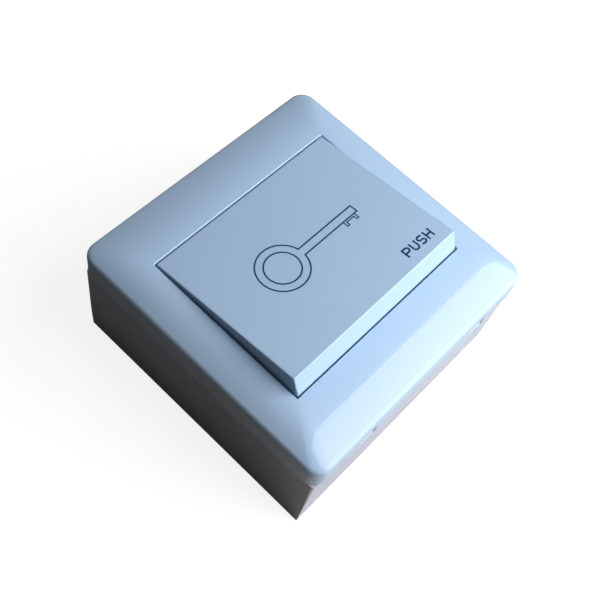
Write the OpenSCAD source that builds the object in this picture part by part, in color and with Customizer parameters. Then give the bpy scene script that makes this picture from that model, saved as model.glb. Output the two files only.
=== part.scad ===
// Door exit button on a surface box: a wide sprung rocker in a square cover frame,
// over a carrier plate that holds a momentary double-break switch.
// Frame: +X to the right of the face, +Y up the wall, +Z out of the wall.
// The origin is the centre of the back of the box. Sizes are in millimetres.

/* [Back box] */
// Outside width of the box at its open rim
box_w = 84.6; // [80:0.2:85.4]
// Depth of the box from its back to its rim
box_h = 31.1; // [28:0.1:40]
// How far each side leans in between the rim and the back
box_draft = 0.5; // [0:0.1:0.8]
// Thickness of the side walls at the back
box_wall = 2; // [1.6:0.1:2.4]
// Thickness of the back wall
box_floor = 2.2; // [1.6:0.1:3]
// Radius of the upright corners
box_corner_r = 1.2; // [0.6:0.1:2]
// Diameter of the cable entry in the back
cable_entry_d = 20; // [12:1:24]
// Diameter of the scored conduit knock-outs in the top and bottom walls
knockout_d = 20; // [14:1:20]
// Width of the groove round a knock-out
knockout_groove = 1; // [0.6:0.1:1.4]
// Thickness left under the groove of a knock-out
knockout_web = 0.9; // [0.5:0.1:1.2]
// Distance between the two wall-fixing slots
wall_slot_pitch = 60; // [50:1:64]
// Width of a wall-fixing slot
wall_slot_w = 4.5; // [3.5:0.1:5.5]
// End-to-end length of a wall-fixing slot
wall_slot_l = 9; // [7:0.5:11]

/* [Carrier screws and inserts] */
// Distance between the two screws that hold the carrier to the box
screw_pitch = 60.3; // [60:0.1:60.6]
// Diameter of the screw thread
screw_d = 4; // [3.5:0.1:4.2]
// Length of the screw under its head
screw_l = 20; // [14:1:22]
// Diameter of the pan head
screw_head_d = 7.4; // [6.6:0.1:7.8]
// Height of the pan head
screw_head_h = 2.4; // [1.8:0.1:2.8]
// Outside diameter of the brass insert
insert_d = 6.2; // [5.6:0.1:6.8]
// Length of the brass insert
insert_l = 8; // [6:0.5:10]
// Diameter of the pillar round the insert
pillar_d = 9.4; // [9:0.1:10]

/* [Cover frame] */
// Outside width of the square cover
cover_w = 86; // [85.6:0.2:90]
// Radius of its corners seen from the front
cover_corner_r = 4.5; // [3.5:0.1:6]
// Height of the flat part of the face above the rim of the box
face_h = 12.1; // [11.8:0.1:14]
// Wall thickness of the cover
cover_wall = 2; // [1.6:0.1:2.2]
// How far the crowned border falls from the opening to its shoulder
crown_fall = 2.5; // [1.8:0.1:2.8]
// Width of the flat band round the opening
flat_band = 0.3; // [0.2:0.1:0.8]
// Radius that rolls the border into the skirt
shoulder_r = 1.7; // [0.8:0.1:2.2]
// Gap between the skirt and the rim of the box
seam_gap = 0.3; // [0.2:0.05:0.5]
// Distance from the centre line to the middle of a pry notch
pry_x = 23; // [21:0.5:26]
// Length of a pry notch in the skirt
pry_l = 6.5; // [5:0.5:8]
// Height of a pry notch
pry_h = 4; // [2:0.1:4.5]
// Distance from the centre line to the middle of a snap barb
snap_x = 12; // [10:0.5:13]

/* [Opening and rocker] */
// Width of the opening in the cover
opening_w = 64.8; // [62:0.2:65]
// Distance from the centre of the cover to the upper edge of the opening
opening_top = 26.2; // [25.8:0.1:27]
// Distance from the centre of the cover to the lower edge of the opening
opening_low = 25.3; // [25:0.1:27]
// Gap at each side of the rocker
side_gap = 0.5; // [0.3:0.05:0.7]
// Gap at the upper and lower ends of the rocker
end_gap = 0.4; // [0.35:0.05:0.5]
// Height of the raised lower edge above the face
rocker_rise = 6.2; // [5:0.1:7]
// How far the lower end of the rocker leans in from its foot to its raised edge
rocker_lean = 2.4; // [1.5:0.1:3]
// Wall thickness of the rocker
rocker_wall = 2; // [1.6:0.1:2.4]
// How far the rocker's side walls reach below the face
rocker_drop = 3.9; // [3:0.1:4]
// Distance from the centre line to a stiffening rib under the rocker
rocker_rib_x = 11; // [9:0.5:13]
// Thickness of a stiffening rib
rocker_rib_t = 1.2; // [0.8:0.1:1.6]
// Depth of a stiffening rib below the rocker's shell
rocker_rib_h = 2.4; // [1.5:0.1:3]
// Full swing of the rocker in degrees
rocker_swing = 5; // [3:0.5:5.5]

/* [Rocker bearing] */
// Distance from the centre line to the hinge axis
hinge_y = 22; // [20:0.1:23]
// Height of the hinge axis above the rim of the box
hinge_h = 6.9; // [6.5:0.1:7]
// Diameter of the trunnions
trunnion_d = 3; // [2.5:0.1:3.2]
// Length of a trunnion
trunnion_l = 3; // [2:0.1:3.4]
// Radius of the ear round a bearing
ear_r = 2.3; // [2.2:0.05:2.6]
// Thickness of a bearing ear
ear_t = 3; // [2.4:0.1:3.2]
// Radius of the rocker's boss round a trunnion
boss_r = 2.5; // [2.2:0.1:2.8]
// Running clearance of shafts and stems, on the radius
run_gap = 0.05; // [0.02:0.01:0.1]

/* [Rocker hooks and springs] */
// Distance from the centre line to the middle of a hook
hook_x = 24; // [20:0.5:26]
// Distance below the centre line to the middle of a hook
hook_y = 19; // [17:0.5:20]
// Width of a hook
hook_w = 5; // [3:0.5:7]
// Thickness of a hook
hook_t = 1.6; // [1.2:0.1:2]
// How far the barb of a hook reaches under the carrier
barb = 1.2; // [0.8:0.1:1.5]
// Distance from the centre line to a return spring
spring_x = 20; // [17:0.5:21]
// Distance below the centre line to a return spring
spring_y = 10; // [8:0.5:11]
// Mean radius of a return spring
spring_r = 2.9; // [2.6:0.1:3.1]
// Diameter of the spring wire
wire_d = 0.6; // [0.4:0.05:0.8]
// Turns of a return spring
spring_turns = 7; // [5:1:9]
// Length of the horizontal pad that a return spring pushes on, below the rocker's shell
spring_pad = 1.2; // [0.8:0.1:2]

/* [Carrier frame] */
// Thickness of the carrier plate
plate_t = 2.4; // [2:0.1:2.8]
// Height of the carrier's edge wall above the plate
edge_h = 3.5; // [3:0.1:4]
// Thickness of the edge wall
edge_t = 1.6; // [1.2:0.1:2]
// Clearance round pieces that drop into each other
fit_gap = 0.3; // [0.2:0.05:0.35]
// Width of a snap window in the edge wall
window_w = 9; // [6:0.5:11]
// Height of a snap window
window_h = 1.6; // [1.4:0.1:2]
// Thickness of the tongues that fill the foot of the pry notches
tongue_t = 0.8; // [0.6:0.1:1.2]
// How far the carrier can be shifted on its screws, each way
screw_play = 1.5; // [0.5:0.1:2]
// Room round the head of a carrier screw
head_gap = 0.5; // [0.3:0.1:1]

/* [Switch] */
// Width of the switch base
base_w = 40; // [38:0.5:42]
// Depth of the switch base across
base_d = 22; // [20:0.5:24]
// Height of the switch base
base_h = 15; // [14.5:0.1:16]
// Wall under the spring well
base_floor = 2; // [1.5:0.1:2.5]
// Half width of the contact chamber
chamber_x = 9.5; // [9.2:0.1:10]
// Half depth of the contact chamber
chamber_y = 7.5; // [7:0.1:8]
// Depth of the base's ears from the base to their ends
ear_l = 6.5; // [6:0.1:8]
// Width of the base's ears
ear_w = 8; // [7:0.5:10]
// Diameter of the self-tapping screws of the base
tap_d = 2.9; // [2.6:0.1:3.2]
// Thickness of the switch cover
lid_t = 2.2; // [1.8:0.1:2.6]
// Height of the guide tube above the rim of the box
guide_h = 3.9; // [3.5:0.1:4.2]
// Diameter of the plunger
plunger_d = 6; // [5:0.1:6.4]
// Gap between the rocker's nose and the plunger
nose_gap = 0.2; // [0.1:0.05:0.3]
// Height of the plunger's top above the rim of the box
plunger_h = 6.9; // [6.7:0.1:7.2]
// Thickness of the contact strips
strip_t = 0.8; // [0.6:0.1:1]
// Width of the contact strips
strip_w = 5; // [4:0.1:5.5]
// Distance from the centre line to a contact stud
stud_x = 6.5; // [6:0.1:6.8]
// Diameter of a contact stud
stud_d = 2.8; // [2.4:0.1:3]
// Height of a contact stud
stud_h = 0.8; // [0.5:0.1:1]
// Thickness of the moving bridge
bridge_t = 0.6; // [0.5:0.1:0.8]
// Width of the moving bridge
bridge_w = 4.5; // [4:0.1:5]
// Gap left between the studs when the rocker is fully pressed
press_gap = 0.1; // [0.05:0.05:0.2]
// Distance from the centre line to a terminal screw
terminal_x = 14.75; // [14.4:0.05:15]
// Diameter of the terminal screws
terminal_d = 3; // [2.5:0.1:3.2]
// Space for a wire between clamp and strip
wire_space = 1.6; // [1.2:0.1:2]
// Mean radius of the plunger's spring
core_spring_r = 2.4; // [2.3:0.05:2.5]
// Turns of the plunger's spring
core_spring_turns = 5; // [4:1:6]

/* [Hidden] */

$fn = 64;
// overshoot of cuts past the faces that they open
eps = 0.5;
left = -1;
right = 1;
top = 1;
bottom = -1;

// inside width of the box, upright all the way
cavity_w = box_w - 2 * box_draft - 2 * box_wall;
pillar_x = screw_pitch / 2;

// heights of the cover
cover_z = box_h + seam_gap;
face_z = box_h + face_h;
// the shoulder turns this far from upright before the crown takes over
roll_a = 68;
roll_z = face_z - crown_fall - shoulder_r * sin(roll_a);
roll_in = shoulder_r * (1 - cos(roll_a));
// width of the crown at the sides, above and below the opening
crown_side = (cover_w - opening_w) / 2 - flat_band - roll_in;
crown_top = cover_w / 2 - opening_top - flat_band - roll_in;
crown_low = cover_w / 2 - opening_low - flat_band - roll_in;
roll_steps = 5;
corner_steps = 8;
crown_steps = 8;
// corner radius of the crown where it meets the flat band
band_r = 0.6;
inner_w = cover_w - 2 * cover_wall;

// carrier
plate_z = box_h + plate_t;
carrier_w = inner_w - 2 * fit_gap;
edge_z = plate_z + edge_h;
// the snap windows sit in the edge wall, a little above the plate
window_z = plate_z + 0.7;

// rocker, in the Y-Z plane
rocker_w = opening_w - 2 * side_gap;
head_y = opening_top - end_gap;
foot_y = -opening_low + end_gap;
lip_y = foot_y + rocker_lean;
lip_z = face_z + rocker_rise;
rim_z = face_z - rocker_drop;
tilt_a = atan(rocker_rise / (head_y - lip_y));
hinge_z = box_h + hinge_h;
ear_x = rocker_w / 2 + 0.4;

// underside of the rocker's shell at a given y
function shell_z(y) = face_z + (head_y - y) * tan(tilt_a) - rocker_wall / cos(tilt_a);

// level pad on top of a return spring
seat_r = spring_r + wire_d / 2 + 0.6;
pad_z = shell_z(seat_r - spring_y) - spring_pad;
spring_post_l = 3;

// travel of the plunger under the rocker's nose
travel = hinge_y * sin(rocker_swing);
plunger_z = box_h + plunger_h;
nose_r = 1.5;
nose_z = plunger_z + nose_gap + nose_r;

// switch
base_z = box_h - base_h;
well_r = core_spring_r + wire_d / 2 + 0.4;
well_z = base_z + base_floor;
strip_rise = 4.9;
strip_z = base_z + strip_rise;
stud_z = strip_z + strip_t;
bridge_stud_z = stud_z + stud_h + travel + press_gap;
bridge_z = bridge_stud_z + stud_h;
bridge_half = stud_x + stud_d / 2 + 0.6;
strip_in = well_r + 0.5;
strip_end = 3.5;
strip_out = terminal_x + strip_end;
pocket_half = 3.75;
pocket_in = terminal_x - pocket_half;
pocket_out = terminal_x + pocket_half;
pocket_y = 4;
clamp_t = 1;
clamp_z = strip_z - wire_space - clamp_t;
terminal_head_h = 1.6;
terminal_head_d = 5.4;
// length of a terminal screw above the underside of its strip
terminal_reach = 5;
terminal_tip_z = strip_z + terminal_reach;
lid_w = 25.4;
lid_d = 19.4;
ear_thick = 3;
tap_y = base_d / 2 + 3;
tap_head_h = 2;
tap_head_d = 5.4;
tap_l = 7;
tap_boss_h = 3;
tap_boss_d = tap_d + 3.2;
collar_r = plunger_d / 2 + 1.2;
collar_t = 2.2;
spigot_r = 1.4;
spigot_l = 3;
step_r = spigot_r + 1.2;

// rounded square or oblong, centred
module rounded(w, d, r) {
    square([w, d - 2 * r], center = true);
    square([w - 2 * r, d], center = true);
    for (x = [-1, 1], y = [-1, 1])
        translate([x * (w / 2 - r), y * (d / 2 - r)]) circle(r);
}

// extrudes an outline drawn in Y and Z along X, centred on x
module along_x(x, w) {
    translate([x - w / 2, 0, 0]) rotate([90, 0, 90]) linear_extrude(w) children();
}

// closed coil of round wire standing on z = 0, its end turns lying flat
module coil(r, wire, h, turns) {
    sides = 8;
    steps = 16 * turns;
    rise = h - wire;
    function lift(u) = min(max((u * turns - 0.75) / (turns - 1.5), 0), 1) * rise + wire / 2;
    ring = [for (i = [0:steps], j = [0:sides - 1])
        let (a = 360 * turns * i / steps, b = 360 * j / sides, q = r + wire / 2 * cos(b))
        [q * cos(a), q * sin(a), lift(i / steps) + wire / 2 * sin(b)]];
    skin = [for (i = [0:steps - 1], j = [0:sides - 1])
        let (k = (j + 1) % sides)
        [i * sides + j, (i + 1) * sides + j, (i + 1) * sides + k, i * sides + k]];
    ends = [[for (j = [0:sides - 1]) j], [for (j = [0:sides - 1]) steps * sides + sides - 1 - j]];
    polyhedron(ring, concat(skin, ends), convexity = 10);
}

// body of the box: two crossed wedges give the draft, a rounded prism the corners
module box_block() {
    back_w = box_w - 2 * box_draft;
    wedge = [[-back_w / 2, 0], [back_w / 2, 0], [box_w / 2, box_h], [-box_w / 2, box_h]];
    intersection() {
        along_x(0, box_w) polygon(wedge);
        rotate([0, 0, 90]) along_x(0, box_w) polygon(wedge);
        linear_extrude(box_h) rounded(box_w, box_w, box_corner_r);
    }
}

module wall_slot() {
    reach = (wall_slot_l - wall_slot_w) / 2;
    for (s = [-1, 1])
        translate([0, s * reach, -eps]) cylinder(d = wall_slot_w, h = box_floor + 2 * eps);
    translate([-wall_slot_w / 2, -reach, -eps]) cube([wall_slot_w, 2 * reach, box_floor + 2 * eps]);
}

// groove scored into the inside of the top or bottom wall
module knockout(side) {
    depth = box_w / 2 - cavity_w / 2 - knockout_web;
    mid_z = box_floor + knockout_d / 2 + 2;
    translate([0, side * (cavity_w / 2 - eps), mid_z]) rotate([-90 * side, 0, 0]) difference() {
        cylinder(d = knockout_d, h = depth + eps);
        translate([0, 0, -eps]) cylinder(d = knockout_d - 2 * knockout_groove, h = depth + 3 * eps);
    }
}

module back_box() {
    color("lightsteelblue") difference() {
        union() {
            difference() {
                box_block();
                translate([0, 0, box_floor])
                    linear_extrude(box_h) rounded(cavity_w, cavity_w, box_corner_r);
            }
            for (s = [left, right]) screw_pillar(s);
        }
        for (s = [left, right]) translate([s * pillar_x, 0, 0]) {
            translate([0, 0, box_h - insert_l]) cylinder(d = insert_d + 2 * run_gap, h = insert_l + eps);
            translate([0, 0, box_h + plate_t - screw_l - 1]) cylinder(d = screw_d + 0.6, h = screw_l);
        }
        for (s = [top, bottom]) {
            translate([0, s * wall_slot_pitch / 2, 0]) wall_slot();
            knockout(s);
        }
        translate([0, 0, -eps]) cylinder(d = cable_entry_d, h = box_floor + 2 * eps);
    }
}

// pillar from the back wall to the rim, webbed to the side wall
module screw_pillar(side) {
    reach = cavity_w / 2 - pillar_x + 0.2;
    translate([side * pillar_x, 0, box_floor - 0.2]) {
        cylinder(d = pillar_d, h = box_h - box_floor + 0.2);
        translate([side > 0 ? 0 : -reach, -pillar_d / 2, 0]) cube([reach, pillar_d, box_h - box_floor + 0.2]);
    }
}

module box_insert(side) {
    color("goldenrod") translate([side * pillar_x, 0, box_h - insert_l]) difference() {
        cylinder(d = insert_d, h = insert_l);
        translate([0, 0, -eps]) cylinder(d = screw_d + 2 * run_gap, h = insert_l + 2 * eps);
    }
}

// pan-head screw, its head above z = 0 and its shank below, with a cross recess
module pan_screw(d, l, head_d, head_h) {
    difference() {
        union() {
            translate([0, 0, -l]) cylinder(d = d, h = l + head_h / 2);
            cylinder(d = head_d, h = head_h * 0.6);
            translate([0, 0, head_h * 0.6]) cylinder(d1 = head_d, d2 = head_d * 0.72, h = head_h * 0.4);
        }
        for (a = [0, 90]) rotate([0, 0, a])
            translate([-head_d * 0.28, -head_d * 0.06, head_h * 0.4])
                cube([head_d * 0.56, head_d * 0.12, head_h]);
    }
}

module carrier_screw(side) {
    color("silver") translate([side * pillar_x, 0, plate_z])
        pan_screw(screw_d, screw_l, screw_head_d, screw_head_h);
}

// outline of the cover at height z, counter-clockwise, drawn in by each side's own inset
function cover_ring(side, above, below, r, z) = [for (q = [0:3], i = [0:corner_steps])
    let (a = 90 * (q + i / corner_steps), m = 45 + 90 * q,
        cx = sign(cos(m)) * (cover_w / 2 - side - r),
        cy = sin(m) > 0 ? cover_w / 2 - above - r : r + below - cover_w / 2)
    [cx + r * cos(a), cy + r * sin(a), z]];

// rings of the skirt, the rolled shoulder and the crown, all shrunk by wall
function cover_rings(wall, z, r) = concat(
    [cover_ring(wall, wall, wall, r, z)],
    [for (i = [0:roll_steps]) let (t = roll_a * i / roll_steps, n = wall + shoulder_r * (1 - cos(t)))
        cover_ring(n, n, n, r, roll_z - wall + shoulder_r * sin(t))],
    [for (i = [1:crown_steps]) let (u = i / crown_steps, n = wall + roll_in)
        cover_ring(n + crown_side * u, n + crown_top * u, n + crown_low * u,
            r + (band_r - r) * u, face_z - wall - crown_fall * pow(1 - u, 2))]
);

// solid under the crowned border, standing on the height z
module crowned(wall, z, r) {
    rings = cover_rings(wall, z, r);
    n = len(rings[0]);
    spots = [for (p = rings) each p];
    sides = [for (i = [0:len(rings) - 2], j = [0:n - 1])
        let (k = (j + 1) % n)
        [i * n + j, (i + 1) * n + j, (i + 1) * n + k, i * n + k]];
    caps = [[for (j = [0:n - 1]) j], [for (j = [0:n - 1]) len(spots) - 1 - j]];
    polyhedron(spots, concat(sides, caps), convexity = 4);
}

module fascia() {
    opening_h = opening_top + opening_low;
    color("lightsteelblue") union() {
        difference() {
            crowned(0, cover_z, cover_corner_r);
            crowned(cover_wall, cover_z - eps, max(cover_corner_r - cover_wall, 0.8));
            translate([-opening_w / 2, -opening_low, cover_z - eps])
                cube([opening_w, opening_h, face_h + 2 * eps]);
            for (s = [left, right])
                translate([s * pry_x - pry_l / 2, -cover_w / 2 - eps, cover_z - eps])
                    cube([pry_l, cover_wall + 2 * eps, pry_h + eps]);
        }
        for (s = [left, right], e = [top, bottom]) snap_barb(s * snap_x, e);
    }
}

// wedge on the inside of the skirt that snaps into a window of the carrier
module snap_barb(x, end) {
    play = 0.2;
    low = window_z + play;
    high = window_z + window_h - play;
    wall_y = inner_w / 2;
    reach = fit_gap + 0.8;
    wedge = [[wall_y + 0.2, low], [wall_y + 0.2, high], [wall_y - reach, high], [wall_y - 0.3, low]];
    mirror([0, end > 0 ? 0 : 1, 0]) along_x(x, window_w - 2) polygon(wedge);
}

module carrier_frame() {
    color("whitesmoke") difference() {
        union() {
            carrier_plate();
            for (s = [left, right]) {
                bearing_ear(s);
                pry_tongue(s);
            }
            for (s = [left, right]) translate([s * spring_x, -spring_y, plate_z - 0.2])
                cylinder(r = spring_r + wire_d / 2 + 1.3, h = 2.2);
            for (e = [top, bottom]) translate([0, e * tap_y, plate_z - 0.2])
                cylinder(d = tap_boss_d, h = tap_boss_h + 0.2);
        }
        for (s = [left, right]) {
            translate([s * spring_x, -spring_y, plate_z]) cylinder(r = spring_r + wire_d / 2 + 0.3, h = 3);
            carrier_slot(s);
            hook_slot(s);
            translate([s * (ear_x + ear_t / 2), hinge_y, hinge_z]) rotate([0, 90, 0])
                cylinder(r = trunnion_d / 2 + run_gap, h = ear_t + 2 * eps, center = true);
        }
        translate([-lid_w / 2 - fit_gap, -lid_d / 2 - fit_gap, box_h - eps])
            cube([lid_w + 2 * fit_gap, lid_d + 2 * fit_gap, plate_t + 2 * eps]);
        for (e = [top, bottom]) translate([0, e * tap_y, box_h - eps])
            cylinder(r = tap_d / 2 + run_gap, h = tap_l - ear_thick + eps + 0.4);
    }
}

// flat plate with an edge wall, cut through by the snap windows
module carrier_plate() {
    corner = max(cover_corner_r - cover_wall - fit_gap, 0.6);
    difference() {
        translate([0, 0, box_h]) linear_extrude(plate_t + edge_h) rounded(carrier_w, carrier_w, corner);
        translate([0, 0, plate_z]) linear_extrude(edge_h + eps) {
            rounded(carrier_w - 2 * edge_t, carrier_w - 2 * edge_t, max(corner - edge_t, 0.5));
            // keeps the edge wall clear of the screw heads on a narrow cover
            for (s = [left, right], y = [-screw_play, screw_play])
                translate([s * pillar_x, y]) circle(d = screw_head_d + 2 * head_gap);
        }
        for (s = [left, right]) translate([s * snap_x - window_w / 2, -carrier_w / 2 - eps, window_z])
            cube([window_w, carrier_w + 2 * eps, window_h]);
    }
}

// tongue that reaches into the foot of a pry notch, where a screwdriver bears on it
module pry_tongue(side) {
    play = 0.2;
    tip = cover_w / 2 - 0.05;
    root = carrier_w / 2 - edge_t;
    translate([side * pry_x - pry_l / 2 + play, -tip, box_h]) cube([pry_l - 2 * play, tip - root, tongue_t]);
}

// slot for a carrier screw, long enough to level the plate on the wall
module carrier_slot(side) {
    for (y = [-screw_play, screw_play])
        translate([side * pillar_x, y, box_h - eps]) cylinder(d = screw_d + 0.5, h = plate_t + 2 * eps);
    translate([side * pillar_x - screw_d / 2 - 0.25, -screw_play, box_h - eps])
        cube([screw_d + 0.5, 2 * screw_play, plate_t + 2 * eps]);
}

module hook_slot(side) {
    translate([side * hook_x - hook_w / 2 - 0.4, -hook_y - hook_t / 2 - 0.35, box_h - eps])
        cube([hook_w + 0.8, hook_t + 1.35, plate_t + 2 * eps]);
}

// upright ear that holds one trunnion of the rocker
module bearing_ear(side) {
    translate([side > 0 ? 0 : -2 * ear_x - ear_t, 0, 0]) {
        along_x(ear_x + ear_t / 2, ear_t) {
            translate([hinge_y, hinge_z]) circle(ear_r);
            translate([hinge_y - ear_r, plate_z - 0.2]) square([2 * ear_r, hinge_z - plate_z + 0.2]);
            polygon([[hinge_y - ear_r - 3, plate_z - 0.2], [hinge_y + ear_r + 3, plate_z - 0.2],
                [hinge_y + ear_r - 0.1, plate_z + 3], [hinge_y - ear_r + 0.1, plate_z + 3]]);
        }
    }
}

// outline of the rocker seen from its side
module rocker_outline() {
    polygon([[head_y, face_z], [lip_y, lip_z], [foot_y, face_z], [foot_y, rim_z], [head_y, rim_z]]);
}

// outline of the hollow under the rocker's shell
module rocker_hollow() {
    low_in = foot_y + rocker_wall;
    lip_in = lip_y + rocker_wall;
    head_in = head_y - rocker_wall;
    polygon([[head_in, shell_z(head_in)], [lip_in, shell_z(lip_in)], [low_in + 0.3, face_z],
        [low_in, rim_z - eps], [head_in, rim_z - eps]]);
}

module rocker() {
    color("lightsteelblue") {
        difference() {
            along_x(0, rocker_w) {
                rocker_outline();
            }
            along_x(0, rocker_w - 2 * rocker_wall) rocker_hollow();
        }
        for (s = [left, right]) {
            trunnion(s);
            rocker_hook(s);
            spring_seat(s);
            rocker_rib(s);
        }
        nose();
    }
}

// boss inside the side wall with the pin that turns in the ear
module trunnion(side) {
    wall_x = rocker_w / 2 - rocker_wall;
    translate([side > 0 ? wall_x : -wall_x - rocker_wall, hinge_y, hinge_z]) rotate([0, 90, 0]) {
        cylinder(r = boss_r, h = rocker_wall);
    }
    translate([side * (rocker_w / 2 + trunnion_l / 2 - 0.5), hinge_y, hinge_z]) rotate([0, 90, 0])
        cylinder(d = trunnion_d, h = trunnion_l + 1, center = true);
    along_x(side * (rocker_w / 2 - rocker_wall / 2), rocker_wall)
        translate([hinge_y - boss_r, hinge_z]) square([2 * boss_r, rim_z - hinge_z + 0.2]);
}

// leg with a barb that stops under the carrier plate when the rocker is up
module rocker_hook(side) {
    stop_z = box_h - 0.2;
    tip_z = stop_z - 1.6;
    low = -hook_y - hook_t / 2;
    high = -hook_y + hook_t / 2;
    leg = [[low, shell_z(low) + 0.3], [high, shell_z(high) + 0.3], [high, tip_z], [low, tip_z],
        [low - barb, stop_z - 0.4], [low - barb, stop_z], [low, stop_z]];
    along_x(side * hook_x, hook_w) polygon(leg);
}

// rib along the shell, from the wall at the hinge end to the wall at the pressing end
module rocker_rib(side) {
    far = head_y - rocker_wall + 0.3;
    near = lip_y + rocker_wall - 0.3;
    along_x(side * rocker_rib_x, rocker_rib_t)
        polygon([[far, shell_z(far) + 0.3], [near, shell_z(near) + 0.3],
            [near, shell_z(near) - rocker_rib_h], [far, shell_z(far) - rocker_rib_h]]);
}

// level pad with a post that centres a return spring
module spring_seat(side) {
    translate([side * spring_x, -spring_y, 0]) {
        difference() {
            translate([0, 0, pad_z]) cylinder(r = seat_r, h = lip_z - pad_z);
            translate([-seat_r - eps, spring_y, 0]) rotate([90, 0, 90]) linear_extrude(2 * seat_r + 2 * eps)
                polygon([[head_y, shell_z(head_y) + 0.3], [lip_y, shell_z(lip_y) + 0.3],
                    [lip_y, 2 * lip_z], [head_y, 2 * lip_z]]);
        }
        translate([0, 0, pad_z - spring_post_l])
            cylinder(r = spring_r - wire_d / 2 - 0.5, h = spring_post_l + 0.2);
    }
}

// rounded rib that pushes the plunger
module nose() {
    nose_w = 8;
    along_x(0, nose_w) {
        translate([0, nose_z]) circle(nose_r);
        polygon([[-nose_r, nose_z], [nose_r, nose_z], [nose_r, shell_z(nose_r) + 0.3],
            [-nose_r, shell_z(-nose_r) + 0.3]]);
    }
}

module return_spring(side) {
    play = 0.05;
    color("silver") translate([side * spring_x, -spring_y, plate_z + play])
        coil(spring_r, wire_d, pad_z - plate_z - 2 * play, spring_turns);
}

module switch_base() {
    color("dimgray") difference() {
        union() {
            translate([-base_w / 2, -base_d / 2, base_z]) cube([base_w, base_d, base_h]);
            for (e = [top, bottom])
                translate([-ear_w / 2, e * (base_d / 2 + ear_l / 2 - 0.2) - ear_l / 2, box_h - ear_thick])
                    cube([ear_w, ear_l, ear_thick]);
        }
        translate([-chamber_x, -chamber_y, strip_z]) cube([2 * chamber_x, 2 * chamber_y, base_h]);
        translate([0, 0, well_z]) cylinder(r = well_r, h = base_h);
        for (s = [left, right]) terminal_pocket(s);
        for (e = [top, bottom]) translate([0, e * tap_y, box_h - ear_thick - eps])
            cylinder(d = tap_d + 0.4, h = ear_thick + 2 * eps);
    }
}

// pocket behind a contact strip, open to the back for the screwdriver and below for the wire
module terminal_pocket(side) {
    slack = 0.1;
    mirror([side > 0 ? 0 : 1, 0, 0]) {
        translate([pocket_in, -base_d / 2 - eps, base_z - eps])
            cube([pocket_out - pocket_in, base_d / 2 + pocket_y + eps, stud_z - base_z + eps + slack]);
        translate([chamber_x - eps, -strip_w / 2 - slack, strip_z])
            cube([pocket_in - chamber_x + 2 * eps, strip_w + 2 * slack, strip_t + slack]);
        translate([terminal_x, 0, strip_z]) cylinder(d = terminal_d + 0.8, h = terminal_tip_z - strip_z + 1);
    }
}

module switch_cover() {
    lip_t = 1.2;
    lip_h = 2;
    slack = 0.1;
    color("gainsboro") difference() {
        union() {
            translate([-lid_w / 2, -lid_d / 2, box_h]) cube([lid_w, lid_d, lid_t]);
            cylinder_at(0, 0, box_h, plunger_d / 2 + 2, guide_h);
            translate([-chamber_x + slack, -chamber_y + slack, box_h - lip_h])
                cube([2 * (chamber_x - slack), 2 * (chamber_y - slack), lip_h + 0.2]);
        }
        translate([-chamber_x + slack + lip_t, -chamber_y + slack + lip_t, box_h - lip_h - eps])
            cube([2 * (chamber_x - slack - lip_t), 2 * (chamber_y - slack - lip_t), lip_h + eps]);
        cylinder_at(0, 0, box_h - lip_h - eps, plunger_d / 2 + run_gap, lip_h + guide_h + 2 * eps);
    }
}

module cylinder_at(x, y, z, r, h) {
    translate([x, y, z]) cylinder(r = r, h = h);
}

module base_screw(end) {
    color("silver") translate([0, end * tap_y, box_h - ear_thick]) rotate([180, 0, 0])
        pan_screw(tap_d, tap_l, tap_head_d, tap_head_h);
}

// stem, collar under the cover, shoulder on the bridge and spigot inside the spring
module plunger() {
    collar_z = box_h - 0.2 - collar_t;
    shoulder_z0 = bridge_z + bridge_t;
    color("whitesmoke") union() {
        cylinder_at(0, 0, collar_z + 0.1, plunger_d / 2, plunger_z - collar_z - 0.1);
        cylinder_at(0, 0, collar_z, collar_r, collar_t);
        cylinder_at(0, 0, shoulder_z0, step_r, collar_z - shoulder_z0 + 0.1);
        cylinder_at(0, 0, bridge_z - spigot_l, spigot_r, bridge_t + spigot_l + 0.2);
    }
}

module plunger_spring() {
    play = 0.05;
    color("silver") translate([0, 0, well_z + play])
        coil(core_spring_r, wire_d, bridge_z - well_z - 2 * play, core_spring_turns);
}

module contact_bridge() {
    color("goldenrod") difference() {
        translate([-bridge_half, -bridge_w / 2, bridge_z]) cube([2 * bridge_half, bridge_w, bridge_t]);
        translate([0, 0, bridge_z - eps]) cylinder(r = spigot_r + run_gap, h = bridge_t + 2 * eps);
    }
}

module bridge_stud(side) {
    color("silver") translate([side * stud_x, 0, bridge_stud_z]) cylinder(d = stud_d, h = stud_h);
}

module contact_strip(side) {
    color("goldenrod") mirror([side > 0 ? 0 : 1, 0, 0]) difference() {
        translate([strip_in, -strip_w / 2, strip_z]) cube([strip_out - strip_in, strip_w, strip_t]);
        translate([terminal_x, 0, strip_z - eps])
            cylinder(r = terminal_d / 2 + run_gap, h = strip_t + 2 * eps);
    }
}

module fixed_stud(side) {
    color("silver") translate([side * stud_x, 0, stud_z]) cylinder(d = stud_d, h = stud_h);
}

module terminal_clamp(side) {
    clamp_w = 6.4;
    color("goldenrod") translate([side * terminal_x, 0, clamp_z]) difference() {
        translate([-clamp_w / 2, -clamp_w / 2, 0]) cube([clamp_w, clamp_w, clamp_t]);
        translate([0, 0, -eps]) cylinder(r = terminal_d / 2 + run_gap, h = clamp_t + 2 * eps);
    }
}

module terminal_screw(side) {
    color("silver") translate([side * terminal_x, 0, clamp_z]) rotate([180, 0, 0])
        pan_screw(terminal_d, terminal_tip_z - clamp_z, terminal_head_d, terminal_head_h);
}

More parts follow.
